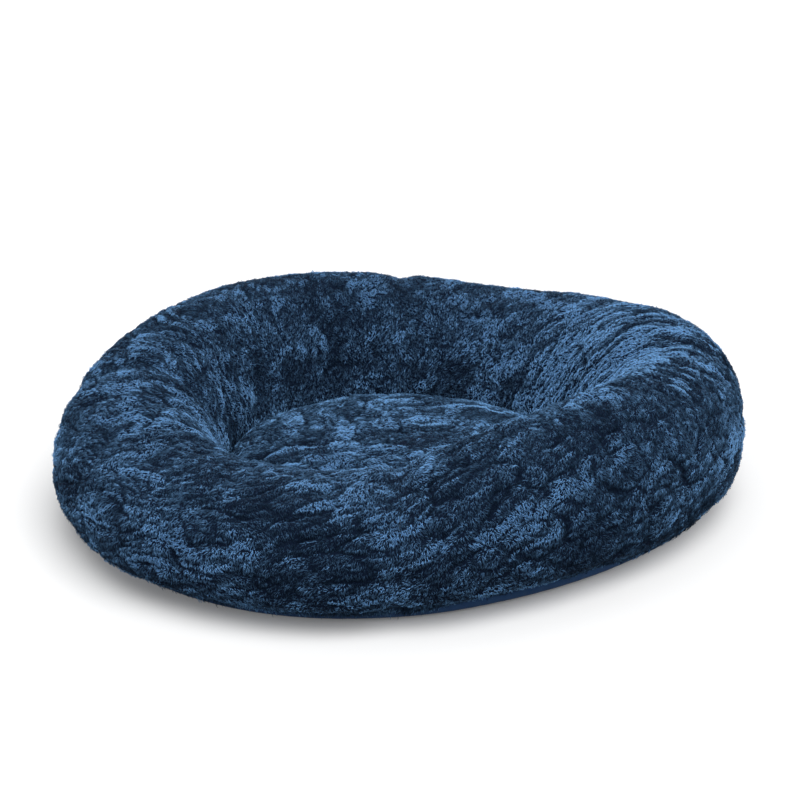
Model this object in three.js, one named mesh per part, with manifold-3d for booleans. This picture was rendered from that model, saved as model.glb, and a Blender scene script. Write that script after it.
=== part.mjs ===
import * as THREE from 'three';
import { mergeVertices } from 'three/addons/utils/BufferGeometryUtils.js';
import Module from 'manifold-3d';

const wasm = await Module();
wasm.setup();

// A round bolster bed for a large dog. A stuffed ring lies on a padded base, and a loose cushion
// fills the well inside the ring. The ring's plush cover is sewn from four panels, with seams at the
// right, back, left and front. A zip in the base, under the cushion, lets the stuffed liner out.
// Millimetres, +Z up, +X to the right, +Y to the back. Angles turn from +X towards +Y.

// Driving sizes
const ringDiameter = 1100;
const rimHeight = 240;
const wellDiameter = 550;
const baseThickness = 10;
const plushThickness = 12;
const linerThickness = 2;
const linerEase = 2;
const clothThickness = 3;
const sewnGap = 0.3;

// The ring's outline and section at 16 stations, a sixteenth of a turn apart, from the right
// through the back, left and front. The front left sags and the front right stands up.
const outlineShares = [
  1.0, 1.04, 1.065, 1.0, 0.945, 0.94, 0.955, 0.955,
  0.97, 1.0, 1.03, 1.02, 0.97, 0.92, 0.915, 0.955,
];
const crestHeightShares = [
  1.0, 0.98, 0.9, 0.88, 0.98, 1.02, 1.02, 0.95,
  0.86, 0.77, 0.72, 0.73, 0.79, 0.96, 1.03, 1.03,
];
const crestPlaceShares = [
  0.45, 0.42, 0.42, 0.45, 0.49, 0.5, 0.5, 0.5,
  0.5, 0.52, 0.52, 0.54, 0.57, 0.6, 0.58, 0.5,
];
const tuckShares = [
  0.14, 0.14, 0.16, 0.19, 0.19, 0.19, 0.19, 0.19,
  0.2, 0.19, 0.17, 0.17, 0.18, 0.2, 0.2, 0.17,
];
const bulgeHeightShare = 0.42;
const plumpShare = 0.85;

// The base's edge turns up to the seam with the ring's cover
const baseSeamHeight = 22;
const baseEdgeRun = 40;

// The cover's seams are drawn in
const panelNames = ['back_right', 'back_left', 'front_left', 'front_right'];
const seamDepth = 7;
const seamReach = 30;
const panelStepShares = [
  0, 0.02, 0.05, 0.09, 0.14, 0.2, 0.27, 0.34, 0.42,
  0.5, 0.58, 0.66, 0.73, 0.8, 0.86, 0.91, 0.95, 0.98,
];

// The slit where the ring's liner was stuffed and closed by hand
const slitLength = 160;
const slitWidth = 4;

// The loose cushion
const cushionSideGap = 3;
const cushionSeamHeight = 30;
const cushionCrown = 48;
const cushionCornerShare = 0.16;
const roundness = 2.5;

// The zip in the base
const zipLength = 500;
const zipSlotWidth = 32;
const zipHeight = 6;
const tapeThickness = 1;
const teethWidth = 2.6;
const teethHeight = 2.6;
const teethSpacing = 1.6;
const stopLength = 3;

// The zip's slider and its pull tab
const sliderLength = 12;
const sliderWidth = 9;
const sliderPlate = 1;
const bridgeLength = 4;
const bridgeWidth = 1;
const archLength = 6.4;
const archPost = 1.2;
const archWidth = 1.6;
const archBar = 1;
const archWindow = 1.35;
const tabThickness = 0.7;
const tabLength = 24;
const tabWidth = 5.6;
const tabNeckWidth = 4.4;
const tabEyeWidth = 2.4;
const tabEyeLength = 5.2;

const cutOverrun = 5;
const fullTurn = 2 * Math.PI;
const quarterTurn = fullTurn / 4;
const wellRadius = wellDiameter / 2;
const wellFloor = baseThickness + sewnGap;
const roundSteps = 48;

const materials = {
  plush: { color: 0x2f4566, roughness: 0.95, metalness: 0 },
  baseCloth: { color: 0x1b2a44, roughness: 0.85, metalness: 0 },
  linerCloth: { color: 0xe8e6e0, roughness: 0.9, metalness: 0 },
  fibre: { color: 0xf4f3ef, roughness: 1, metalness: 0 },
  zipTape: { color: 0x1a2438, roughness: 0.8, metalness: 0 },
  zipTeeth: { color: 0x141c2c, roughness: 0.45, metalness: 0 },
  zipMetal: { color: 0x8d9096, roughness: 0.35, metalness: 1 },
};

// A smooth closed curve through the stations' shares
function around(shares, angle) {
  const count = shares.length;
  const turn = (((angle / fullTurn) * count) % count + count) % count;
  const station = Math.floor(turn);
  const t = turn - station;
  const at = (step) => shares[(station + step + count) % count];
  const [a, b, c, d] = [at(-1), at(0), at(1), at(2)];
  const cubic = 3 * b - a - 3 * c + d;
  const square = 2 * a - 5 * b + 4 * c - d;
  return (2 * b + (c - a) * t + square * t ** 2 + cubic * t ** 3) / 2;
}

function ringSizes(angle) {
  const outer = (ringDiameter / 2) * around(outlineShares, angle);
  const bolster = outer - wellRadius;
  const top = rimHeight * around(crestHeightShares, angle);
  return {
    outer,
    top,
    seam: outer - bolster * around(tuckShares, angle),
    crest: outer - bolster * around(crestPlaceShares, angle),
    bulge: top * bulgeHeightShare,
  };
}

// The skin's radius and height along its section: stretch 0 to 1 runs from the base seam out to the
// widest place, 1 to 2 up to the crest, and 2 to 3 down the slope to the well's floor
function skinPlace(sizes, stretch) {
  const { outer, top, seam, crest, bulge } = sizes;
  const leg = Math.min(2, Math.floor(stretch));
  const swing = (stretch - leg) * quarterTurn;
  const [rise, fall] = [Math.sin(swing), Math.abs(Math.cos(swing))];
  if (leg === 0) {
    return [seam + (outer - seam) * rise, bulge - (bulge - baseSeamHeight) * fall];
  }
  if (leg === 1) {
    return [
      crest + (outer - crest) * fall ** plumpShare,
      bulge + (top - bulge) * rise ** plumpShare,
    ];
  }
  return [crest - (crest - wellRadius) * rise, wellFloor + (top - wellFloor) * fall];
}

// Points along the section, moved inwards at right angles to the skin
function skinLine(angle, stepsPerLeg, insetAt) {
  const sizes = ringSizes(angle);
  const nudge = 1e-3;
  const line = [];
  stepsPerLeg.forEach((steps, leg) => {
    for (let step = leg === 0 ? 0 : 1; step <= steps; step += 1) {
      const stretch = leg + step / steps;
      const [radius, height] = skinPlace(sizes, stretch);
      const [r0, z0] = skinPlace(sizes, Math.max(0, stretch - nudge));
      const [r1, z1] = skinPlace(sizes, Math.min(stepsPerLeg.length, stretch + nudge));
      const run = Math.hypot(r1 - r0, z1 - z0);
      const inset = insetAt(stretch, stepsPerLeg.length);
      line.push([radius - (inset * (z1 - z0)) / run, height + (inset * (r1 - r0)) / run]);
    }
  });
  return line;
}

function placed(line, angle, sidestep = 0) {
  const [across, along] = [Math.cos(angle), Math.sin(angle)];
  return line.map(
    ([radius, height]) => new THREE.Vector3(
      radius * across - sidestep * along,
      radius * along + sidestep * across,
      height,
    ),
  );
}

function geometryFrom(points, triangles) {
  const geometry = new THREE.BufferGeometry();
  const flat = points.flatMap((point) => [point.x, point.y, point.z]);
  geometry.setAttribute('position', new THREE.Float32BufferAttribute(flat, 3));
  geometry.setIndex(triangles);
  return geometry;
}

// Joins closed section loops into a body. An open row of loops gets flat end caps: its loops run out
// along one skin and back along the other, so a cap pairs each point with the one across from it.
function sweep(loops, closed) {
  const count = loops[0].length;
  const rows = closed ? loops.length : loops.length - 1;
  const triangles = [];
  for (let row = 0; row < rows; row += 1) {
    const here = row * count;
    const next = ((row + 1) % loops.length) * count;
    for (let k = 0; k < count; k += 1) {
      const k1 = (k + 1) % count;
      triangles.push(here + k, next + k, next + k1, here + k, next + k1, here + k1);
    }
  }
  if (!closed) {
    const last = (loops.length - 1) * count;
    for (let k = 0; k < count / 2 - 1; k += 1) {
      const [a, b, c, d] = [k, k + 1, count - 2 - k, count - 1 - k];
      triangles.push(a, b, c, a, c, d);
      triangles.push(last + a, last + c, last + b, last + a, last + d, last + c);
    }
  }
  return geometryFrom(loops.flat(), triangles);
}

// A round body from lines that run from its underside's centre out to its rim and back over its top
function dish(lines, bottomCentre, topCentre) {
  const count = lines[0].length;
  const points = [...lines.flat(), bottomCentre, topCentre];
  const [bottom, top] = [points.length - 2, points.length - 1];
  const triangles = [];
  lines.forEach((line, row) => {
    const here = row * count;
    const next = ((row + 1) % lines.length) * count;
    triangles.push(bottom, next, here);
    triangles.push(here + count - 1, next + count - 1, top);
    for (let k = 0; k < count - 1; k += 1) {
      triangles.push(here + k, next + k, next + k + 1, here + k, next + k + 1, here + k + 1);
    }
  });
  return geometryFrom(points, triangles);
}

function solidOf(geometry) {
  const bare = geometry.clone();
  bare.deleteAttribute('normal');
  bare.deleteAttribute('uv');
  const merged = mergeVertices(bare, 1e-4);
  return new wasm.Manifold(new wasm.Mesh({
    numProp: 3,
    vertProperties: new Float32Array(merged.attributes.position.array),
    triVerts: new Uint32Array(merged.index.array),
  }));
}

function geometryOf(solid) {
  const mesh = solid.getMesh();
  const geometry = new THREE.BufferGeometry();
  geometry.setAttribute('position', new THREE.BufferAttribute(mesh.vertProperties, mesh.numProp));
  geometry.setIndex(new THREE.BufferAttribute(mesh.triVerts, 1));
  return geometry;
}

function block(length, width, height, x = 0, y = 0, z = 0) {
  return new THREE.BoxGeometry(length, width, height).translate(x, y, z);
}

const bed = new THREE.Group();

function addPiece(name, geometry, finish) {
  const mesh = new THREE.Mesh(geometry, new THREE.MeshStandardMaterial(materials[finish]));
  mesh.name = name;
  bed.add(mesh);
  return mesh;
}

const panelTurn = fullTurn / panelNames.length;
const ringAngles = panelNames.flatMap(
  (name, panel) => panelStepShares.map((share) => (panel + share) * panelTurn),
);

// Steps along each leg of the section. The liner's are every second or third one of the cover's, so
// that its flats always lie inside the cover's.
const coverSteps = [2, 6, 4];
const linerSteps = [2, 3, 2];

// The ring's cover: four plush panels, each as thick as its pile and backing
function coverPanel(panel) {
  const loops = [...panelStepShares, 1].map((share) => {
    const angle = (panel + share) * panelTurn;
    const fromSeam = Math.min(share, 1 - share) * panelTurn * ringSizes(angle).outer;
    const pull = seamDepth * Math.exp(-((fromSeam / seamReach) ** 2));
    const drawnIn = (stretch, end) => pull * Math.min(1, stretch, end - stretch);
    const outside = skinLine(angle, coverSteps, drawnIn);
    const inside = skinLine(angle, coverSteps, () => plushThickness);
    const clear = (Number(share === 0) - Number(share === 1)) * (sewnGap / 2);
    return placed([...outside, ...inside.reverse()], angle, clear);
  });
  return sweep(loops, false);
}

panelNames.forEach((name, panel) => {
  addPiece(`ring_cover_${name}`, coverPanel(panel), 'plush');
});

// A full ring inside the cover, with some ease to it, at a given depth above the padded base
function innerRing(depth) {
  const inset = plushThickness + linerEase + depth;
  const floor = baseThickness + depth;
  const loops = ringAngles.map((angle) => {
    const line = skinLine(angle, linerSteps, () => inset);
    const { seam } = ringSizes(angle);
    line[line.length - 1][1] = floor;
    line.push([seam - baseEdgeRun, floor]);
    return placed(line, angle);
  });
  return sweep(loops, true);
}

// The liner bag with its stuffing slit in the underside, and the fibre that fills it
const linerDepth = sewnGap;
const fibreDepth = linerDepth + linerThickness + sewnGap;
const linerHollow = solidOf(innerRing(linerDepth + linerThickness));
const slitPlace = (ringSizes(quarterTurn).seam - baseEdgeRun + wellRadius) / 2;
const slitCut = linerThickness + 2 * cutOverrun;
const slit = solidOf(block(slitLength, slitWidth, slitCut, 0, slitPlace, wellFloor));
const liner = solidOf(innerRing(linerDepth)).subtract(linerHollow).subtract(slit);
addPiece('ring_liner', geometryOf(liner), 'linerCloth');
addPiece('ring_fill', innerRing(fibreDepth), 'fibre');

// The padded base, with its edge turned up to the cover's seam and a slot for the zip
function basePanel() {
  const edgeSteps = 3;
  const lines = ringAngles.map((angle) => {
    const rim = ringSizes(angle).seam - sewnGap;
    const flat = rim - baseEdgeRun;
    const line = [];
    for (let step = 0; step <= edgeSteps; step += 1) {
      const swing = (step / edgeSteps) * quarterTurn;
      line.push([flat + baseEdgeRun * Math.sin(swing), baseSeamHeight * (1 - Math.cos(swing))]);
    }
    line.push([rim, baseSeamHeight + plushThickness]);
    line.push([flat, baseThickness]);
    return placed(line, angle);
  });
  return dish(lines, new THREE.Vector3(0, 0, 0), new THREE.Vector3(0, 0, baseThickness));
}

const slotCut = baseThickness + 2 * cutOverrun;
const zipSlot = solidOf(block(zipLength, zipSlotWidth, slotCut, 0, 0, baseThickness / 2));
addPiece('base_panel', geometryOf(solidOf(basePanel()).subtract(zipSlot)), 'baseCloth');

// The cushion: a crowned plush top and a flat cloth underside, sewn round the rim, over its filling
const cushionRadius = wellRadius - cushionSideGap;
const cushionFloor = wellFloor;
const cushionSeam = cushionFloor + cushionSeamHeight;

function crownLine(depth, steps) {
  const line = [];
  for (let step = 0; step <= steps; step += 1) {
    const swing = (step / steps) * quarterTurn;
    line.push(new THREE.Vector2(
      (cushionRadius - depth) * Math.abs(Math.cos(swing)) ** (2 / roundness),
      cushionSeam + (cushionCrown - depth) * Math.sin(swing) ** (2 / roundness),
    ));
  }
  return line;
}

function underLine(depth, reach, top) {
  const cornerSteps = 3;
  const floor = cushionFloor + depth;
  const corner = cushionRadius * cushionCornerShare;
  const line = [new THREE.Vector2(0, floor)];
  for (let step = 0; step <= cornerSteps; step += 1) {
    const swing = (step / cornerSteps) * quarterTurn;
    line.push(new THREE.Vector2(
      reach - corner * (1 - Math.sin(swing)),
      floor + (top - floor) * (1 - Math.cos(swing)),
    ));
  }
  return line;
}

function turned(line) {
  return new THREE.LatheGeometry(line, roundSteps).rotateX(quarterTurn);
}

const crownSteps = 6;
addPiece('cushion_top_cover', turned([
  ...crownLine(plushThickness, crownSteps).reverse(),
  ...crownLine(0, crownSteps),
]), 'plush');
addPiece('cushion_bottom_cover', turned([
  ...underLine(0, cushionRadius, cushionSeam - sewnGap),
  ...underLine(clothThickness, cushionRadius - plushThickness, cushionSeam - sewnGap).reverse(),
]), 'baseCloth');
addPiece('cushion_fill', turned([
  ...underLine(clothThickness + sewnGap, cushionRadius - plushThickness - sewnGap, cushionSeam),
  ...crownLine(plushThickness + sewnGap, crownSteps).slice(1),
]), 'fibre');

// The zip: a tape and a row of teeth on each side, with a stop at each end
const tapeInner = teethSpacing / 2 + teethWidth + sewnGap;
const tapeOuter = zipSlotWidth / 2 - sewnGap;
const tapeLength = zipLength - 2 * sewnGap;
const teethLength = tapeLength - 2 * (stopLength + sewnGap);
const stopWidth = teethSpacing + 2 * teethWidth;

[['front', -1], ['back', 1]].forEach(([side, way]) => {
  const tapeWidth = tapeOuter - tapeInner;
  const tapePlace = (way * (tapeInner + tapeOuter)) / 2;
  const tape = block(tapeLength, tapeWidth, tapeThickness, 0, tapePlace, zipHeight);
  addPiece(`zip_tape_${side}`, tape, 'zipTape');
  const teethPlace = (way * (teethSpacing + teethWidth)) / 2;
  const teeth = block(teethLength, teethWidth, teethHeight, 0, teethPlace, zipHeight);
  addPiece(`zip_teeth_${side}`, teeth, 'zipTeeth');
});
[['closed', -1], ['open', 1]].forEach(([end, way]) => {
  const stopPlace = (way * (tapeLength - stopLength)) / 2;
  const stop = block(stopLength, stopWidth, teethHeight, stopPlace, 0, zipHeight);
  addPiece(`zip_stop_${end}_end`, stop, 'zipMetal');
});

// A flat outline with rounded corners
function roundedOutline(length, width, corner, Kind = THREE.Shape) {
  const outline = new Kind();
  const [x, y] = [length / 2, width / 2];
  outline.moveTo(-x + corner, -y);
  outline.lineTo(x - corner, -y);
  outline.quadraticCurveTo(x, -y, x, -y + corner);
  outline.lineTo(x, y - corner);
  outline.quadraticCurveTo(x, y, x - corner, y);
  outline.lineTo(-x + corner, y);
  outline.quadraticCurveTo(-x, y, -x, y - corner);
  outline.lineTo(-x, -y + corner);
  outline.quadraticCurveTo(-x, -y, -x + corner, -y);
  return outline;
}

// The slider: two plates with the teeth between them, joined by a bridge in the gap between the two
// rows, and an arch below that holds the pull tab
const teethBottom = zipHeight - teethHeight / 2;
const teethTop = zipHeight + teethHeight / 2;
const lowerPlateTop = teethBottom - sewnGap;
const lowerPlateBottom = lowerPlateTop - sliderPlate;
const upperPlateBottom = teethTop + sewnGap;
const archBarTop = lowerPlateBottom - archWindow;
const sliderPlace = -(teethLength - sliderLength) / 2 + sewnGap;

function sliderBody() {
  const plate = roundedOutline(sliderLength, sliderWidth, sliderWidth / 4);
  const cut = { depth: sliderPlate, bevelEnabled: false, curveSegments: 4 };
  const lower = new THREE.ExtrudeGeometry(plate, cut).translate(0, 0, lowerPlateBottom);
  const upper = new THREE.ExtrudeGeometry(plate, cut).translate(0, 0, upperPlateBottom);
  const bridgeHeight = upperPlateBottom - lowerPlateTop + sliderPlate;
  const bridge = block(bridgeLength, bridgeWidth, bridgeHeight, 0, 0, zipHeight);
  const archHeight = archWindow + archBar + sliderPlate / 2;
  const archPlace = lowerPlateBottom + (sliderPlate - archHeight) / 2;
  const arch = block(archLength, archWidth, archHeight, 0, 0, archPlace);
  const windowPlace = lowerPlateBottom - archWindow / 2;
  const windowLength = archLength - 2 * archPost;
  const windowWidth = archWidth + 2 * cutOverrun;
  const window = block(windowLength, windowWidth, archWindow, 0, 0, windowPlace);
  return [lower, upper, bridge, arch]
    .map(solidOf)
    .reduce((body, piece) => body.add(piece))
    .subtract(solidOf(window));
}

const slider = addPiece('zip_slider', geometryOf(sliderBody()), 'zipMetal');
slider.position.x = sliderPlace;

// The pull tab: its eye goes round the arch, and the bar at its end turns in the arch's window
const tabBar = tabThickness;
const tabPivotHeight = (lowerPlateBottom + archBarTop) / 2;

function pullTab() {
  const blade = roundedOutline(tabLength, tabWidth, tabWidth / 3);
  const neck = roundedOutline(tabEyeLength + 2 * tabBar, tabNeckWidth, tabBar);
  const eye = roundedOutline(tabEyeLength, tabEyeWidth, tabBar / 2);
  const cut = { depth: tabThickness, bevelEnabled: false, curveSegments: 4 };
  const through = { ...cut, depth: tabThickness + 2 * cutOverrun };
  const half = tabThickness / 2;
  const neckPlace = tabEyeLength / 2 + tabBar / 2;
  const bladePlace = tabEyeLength + tabBar / 2 + tabLength / 2;
  const body = solidOf(new THREE.ExtrudeGeometry(neck, cut).translate(neckPlace, 0, -half))
    .add(solidOf(new THREE.ExtrudeGeometry(blade, cut).translate(bladePlace, 0, -half)));
  const hole = new THREE.ExtrudeGeometry(eye, through).translate(neckPlace, 0, -half - cutOverrun);
  return body.subtract(solidOf(hole));
}

const tab = addPiece('zip_pull_tab', geometryOf(pullTab()), 'zipMetal');
tab.position.set(sliderPlace, 0, tabPivotHeight);

// The origin is the middle of the footprint, on the floor
const part = new THREE.Group();
part.add(bed);
const middle = new THREE.Box3().setFromObject(bed).getCenter(new THREE.Vector3());
bed.position.set(-middle.x, -middle.y, 0);

export default part;
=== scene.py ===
# %% [markdown]
# A large round plush pet bed
#
# The bed is a stuffed ring on a padded base, with a loose cushion in its well. All that shows from
# above is crushed plush: a knitted backing that carries a dense pile of fine, short fibres. The packed
# model holds the real sizes and the joints. This file reads it as a fixed frame and dresses it. All
# lengths are in metres, with +Z up, +X to the right and +Y to the back. All noise and all scatter take
# a seed, so each run gives the same bed.

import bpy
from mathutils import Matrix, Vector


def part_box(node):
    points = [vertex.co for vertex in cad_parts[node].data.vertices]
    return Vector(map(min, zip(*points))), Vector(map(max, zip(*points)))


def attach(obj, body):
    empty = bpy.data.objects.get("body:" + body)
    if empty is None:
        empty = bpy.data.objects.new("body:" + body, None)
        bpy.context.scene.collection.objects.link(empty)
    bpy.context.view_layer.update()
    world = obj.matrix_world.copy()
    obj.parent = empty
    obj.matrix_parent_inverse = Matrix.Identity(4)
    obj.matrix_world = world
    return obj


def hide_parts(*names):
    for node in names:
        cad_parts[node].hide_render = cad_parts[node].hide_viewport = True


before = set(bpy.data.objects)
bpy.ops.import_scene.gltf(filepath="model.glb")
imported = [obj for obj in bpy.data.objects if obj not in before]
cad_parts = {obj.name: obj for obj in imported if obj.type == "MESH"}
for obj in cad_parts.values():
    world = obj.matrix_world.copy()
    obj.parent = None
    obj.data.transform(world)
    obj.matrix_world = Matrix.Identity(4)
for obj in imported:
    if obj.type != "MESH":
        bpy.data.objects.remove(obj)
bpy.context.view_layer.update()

# %% Bring in the other helpers
import itertools
import math

import bpy
import numpy as np
from mathutils import Vector

# %% [markdown]
# The camera
#
# A long lens looks down at the bed from the front. A 72 mm lens at 2.6 m keeps the round shape free of
# the stretch that a wide lens would give.

# %% The camera
look_at = Vector((-0.0096, 0.0679, 0.12))
camera_distance = 2.6
camera_elevation = math.radians(20)
camera_data = bpy.data.cameras.new("camera")
camera_data.lens = 72
camera_data.sensor_width = 36
camera = bpy.data.objects.new("camera", camera_data)
away = Vector((0, -math.cos(camera_elevation), math.sin(camera_elevation)))
camera.location = look_at + camera_distance * away
camera.rotation_euler = (math.pi / 2 - camera_elevation, 0, 0)
bpy.context.scene.collection.objects.link(camera)
bpy.context.scene.camera = camera
print("camera at", [round(x, 3) for x in camera.location])

# %% [markdown]
# Pieces from arrays
#
# Each soft piece here is worked out as an array of points, and becomes a mesh in one call. A shell has
# an outer and an inner skin on the same grid. Every edge that only one cell uses gets a strip between
# the skins, so the piece is always a closed solid, even where cells are left out for a slit.

# %% A mesh from points and faces
def new_piece(name, points, corners, counts, finish):
    """A smooth mesh: corners lists the point at each corner of each face, counts the corners a face."""
    mesh = bpy.data.meshes.new(name)
    mesh.vertices.add(len(points))
    mesh.vertices.foreach_set("co", np.asarray(points, np.float32).ravel())
    mesh.loops.add(len(corners))
    mesh.loops.foreach_set("vertex_index", np.asarray(corners, np.int32))
    mesh.polygons.add(len(counts))
    starts = np.concatenate([[0], np.cumsum(counts)[:-1]])
    mesh.polygons.foreach_set("loop_start", starts.astype(np.int32))
    mesh.update(calc_edges=True)
    mesh.shade_smooth()
    mesh.materials.append(finish)
    piece = bpy.data.objects.new(name, mesh)
    bpy.context.scene.collection.objects.link(piece)
    return piece


# %% The cells of a grid of points
cell_corners = 4


def grid_cells(rows, columns, round_turn=False, round_section=False):
    """The four corners of each cell. A grid that closes on itself has one more row or column of cells."""
    cells = (rows if round_turn else rows - 1, columns if round_section else columns - 1)
    i, j = np.meshgrid(np.arange(cells[0]), np.arange(cells[1]), indexing="ij")
    i1 = (i + 1) % rows
    j1 = (j + 1) % columns
    return np.stack([i * columns + j, i1 * columns + j, i1 * columns + j1, i * columns + j1], -1)


# %% A closed shell from two skins
def shell(name, outside, inside, finish, round_turn=False, round_section=False, kept=None):
    """Two skins on one grid, joined along every edge that only one kept cell uses."""
    rows, columns = outside.shape[:2]
    quads = grid_cells(rows, columns, round_turn, round_section)
    kept = np.ones(quads.shape[:2], bool) if kept is None else kept
    top = quads[kept]
    edges = np.concatenate([top[:, [k, (k + 1) % cell_corners]] for k in range(cell_corners)])
    far = rows * columns
    pairs = np.sort(edges, axis=1)
    edge_numbers = pairs[:, 0] * far + pairs[:, 1]
    different, uses = np.unique(edge_numbers, return_counts=True)
    rim = edges[np.isin(edge_numbers, different[uses == 1])]
    bottom = top[:, ::-1] + far
    sides = np.c_[rim[:, 1], rim[:, 0], rim[:, 0] + far, rim[:, 1] + far]
    faces = np.concatenate([top, bottom, sides])
    points = np.concatenate([outside.reshape(-1, 3), inside.reshape(-1, 3)])
    used, corners = np.unique(faces.ravel(), return_inverse=True)
    return new_piece(name, points[used], corners.ravel(), np.full(len(faces), cell_corners), finish)


# %% [markdown]
# Noise that can be used on points
#
# Crushed pile, slack cloth and wadding are all uneven in a smooth way. Gradient noise gives that: each
# corner of a lattice gets a random slope, and the slopes are blended. Blender's own noise textures
# give the same kind of pattern, but here it has to move points and turn fibres as well.

# %% Smooth noise
slope_count = 512
noise_gain = 1.6
cell_primes = (73856093, 19349663, 83492791)
seed_step = 40503
mixing_number = 2654435761
dropped_bits = 16
largest_number = 0xFFFFFF
slopes = np.random.default_rng(7).normal(size=(slope_count, 3))
slopes /= np.linalg.norm(slopes, axis=1, keepdims=True)
cube_corners = list(itertools.product((0, 1), repeat=3))


def lattice_number(cell, seed):
    """A scrambled whole number for each cell of a lattice, up to the largest number."""
    scattered = cell * np.array(cell_primes)
    mixed = scattered[..., 0] ^ scattered[..., 1] ^ scattered[..., 2]
    mixed = (mixed ^ (seed * seed_step)) * mixing_number
    return (mixed >> dropped_bits) & largest_number


def noise(points, size, seed):
    """Smooth noise from about -1 to 1, with lumps of about the given size."""
    scaled = np.asarray(points, float) / size
    cell = np.floor(scaled).astype(np.int64)
    part = scaled - cell
    fade = part ** 3 * (part * (part * 6 - 15) + 10)
    total = np.zeros(part.shape[:-1])
    for corner in cube_corners:
        slope = slopes[lattice_number(cell + np.array(corner), seed) % len(slopes)]
        share = np.prod(np.where(corner, fade, 1 - fade), axis=-1)
        total += share * ((part - np.array(corner)) * slope).sum(-1)
    return total * noise_gain


def step_up(values, low, high):
    """A smooth step from 0 at low to 1 at high. With low above high it steps down."""
    share = np.clip((values - low) / (high - low), 0, 1)
    return share * share * (3 - 2 * share)


print("noise at three places", noise(np.eye(3), 0.4, 1).round(2))

# %% Tufts: the nearest point of a scattered lattice
def nearest_tuft(points, size, seed):
    """The place of the tuft that each point belongs to, and a number from 0 to 1 for that tuft."""
    scaled = np.asarray(points, float) / size
    cell = np.floor(scaled).astype(np.int64)
    best = np.full(len(scaled), np.inf)
    place = np.zeros_like(scaled)
    chance = np.zeros(len(scaled))
    for offset in itertools.product((-1, 0, 1), repeat=3):
        near = cell + np.array(offset)
        spots = [lattice_number(near, seed + k) / largest_number for k in range(4)]
        spot = near + np.stack(spots[:3], -1)
        distance = ((spot - scaled) ** 2).sum(-1)
        closer = distance < best
        best[closer] = distance[closer]
        place[closer] = spot[closer]
        chance[closer] = spots[3][closer]
    return place * size, chance


# %% A smooth curve through known values
def smooth_through(knots, values, places):
    """Cubic pieces through the values at the knots, each with the slope of its neighbours."""
    slope = np.gradient(values, knots, axis=0)
    step = np.clip(np.searchsorted(knots, places, side="right") - 1, 0, len(knots) - 2)
    shape = (-1,) + (1,) * (values.ndim - 1)
    width = (knots[step + 1] - knots[step]).reshape(shape)
    t = ((places - knots[step]) / width.ravel()).reshape(shape)
    start = (2 * t ** 3 - 3 * t ** 2 + 1) * values[step]
    end = (3 * t ** 2 - 2 * t ** 3) * values[step + 1]
    leave = (t ** 3 - 2 * t ** 2 + t) * width * slope[step]
    arrive = (t ** 3 - t ** 2) * width * slope[step + 1]
    return start + end + leave + arrive


# %% [markdown]
# The finishes
#
# Each finish is a Principled surface with its own colours. The effects that feed it are node groups:
# the pile's colour from root to tip, the over-and-under of a weave, and a soft unevenness of tone.
# Colours are linear, as Blender's sockets take them.

# %% Helpers for nodes
def add_node(tree, kind, **values):
    """A node with values on its sockets. An underscore stands for the space in a socket's name."""
    node = tree.nodes.new(kind)
    for socket, value in values.items():
        node.inputs[socket.replace("_", " ")].default_value = value
    return node


def new_group(name, inputs, outputs):
    group = bpy.data.node_groups.new(name, "ShaderNodeTree")
    for socket, kind, value in inputs:
        made = group.interface.new_socket(name=socket, in_out="INPUT", socket_type=kind)
        if value is not None:
            made.default_value = value
    for socket, kind in outputs:
        group.interface.new_socket(name=socket, in_out="OUTPUT", socket_type=kind)
    return group, group.nodes.new("NodeGroupInput"), group.nodes.new("NodeGroupOutput")


def place_group(tree, group, **values):
    node = tree.nodes.new("ShaderNodeGroup")
    node.node_tree = group
    for socket, value in values.items():
        node.inputs[socket.replace("_", " ")].default_value = value
    return node


def new_finish(name, **values):
    finish = bpy.data.materials.new(name)
    finish.use_nodes = True
    surface = finish.node_tree.nodes["Principled BSDF"]
    for socket, value in values.items():
        surface.inputs[socket.replace("_", " ")].default_value = value
    return finish, finish.node_tree, surface


# %% The group for the pile's colour
colour_kind = "NodeSocketColor"
number_kind = "NodeSocketFloat"
vector_kind = "NodeSocketVector"
pile_inputs = [
    ("Tone", number_kind, 0.5),
    ("Reach", number_kind, 0.5),
    ("Root", colour_kind, (0.001, 0.0025, 0.007, 1)),
    ("Dark", colour_kind, (0.001, 0.003, 0.01, 1)),
    ("Bright", colour_kind, (0.255, 0.555, 1.0, 1)),
]
pile_group, given, result = new_group("pile colour", pile_inputs, [("Colour", colour_kind)])
tone_mix = pile_group.nodes.new("ShaderNodeMix")
tone_mix.data_type = "RGBA"
reach_mix = pile_group.nodes.new("ShaderNodeMix")
reach_mix.data_type = "RGBA"
reach_curve = pile_group.nodes.new("ShaderNodeMath")
reach_curve.operation = "POWER"
reach_curve.inputs[1].default_value = 0.5
pile_group.links.new(given.outputs["Tone"], tone_mix.inputs[0])
pile_group.links.new(given.outputs["Dark"], tone_mix.inputs[6])
pile_group.links.new(given.outputs["Bright"], tone_mix.inputs[7])
pile_group.links.new(given.outputs["Reach"], reach_curve.inputs[0])
pile_group.links.new(reach_curve.outputs[0], reach_mix.inputs[0])
pile_group.links.new(given.outputs["Root"], reach_mix.inputs[6])
pile_group.links.new(tone_mix.outputs[2], reach_mix.inputs[7])
pile_group.links.new(reach_mix.outputs[2], result.inputs["Colour"])
print("group", pile_group.name)

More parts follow.
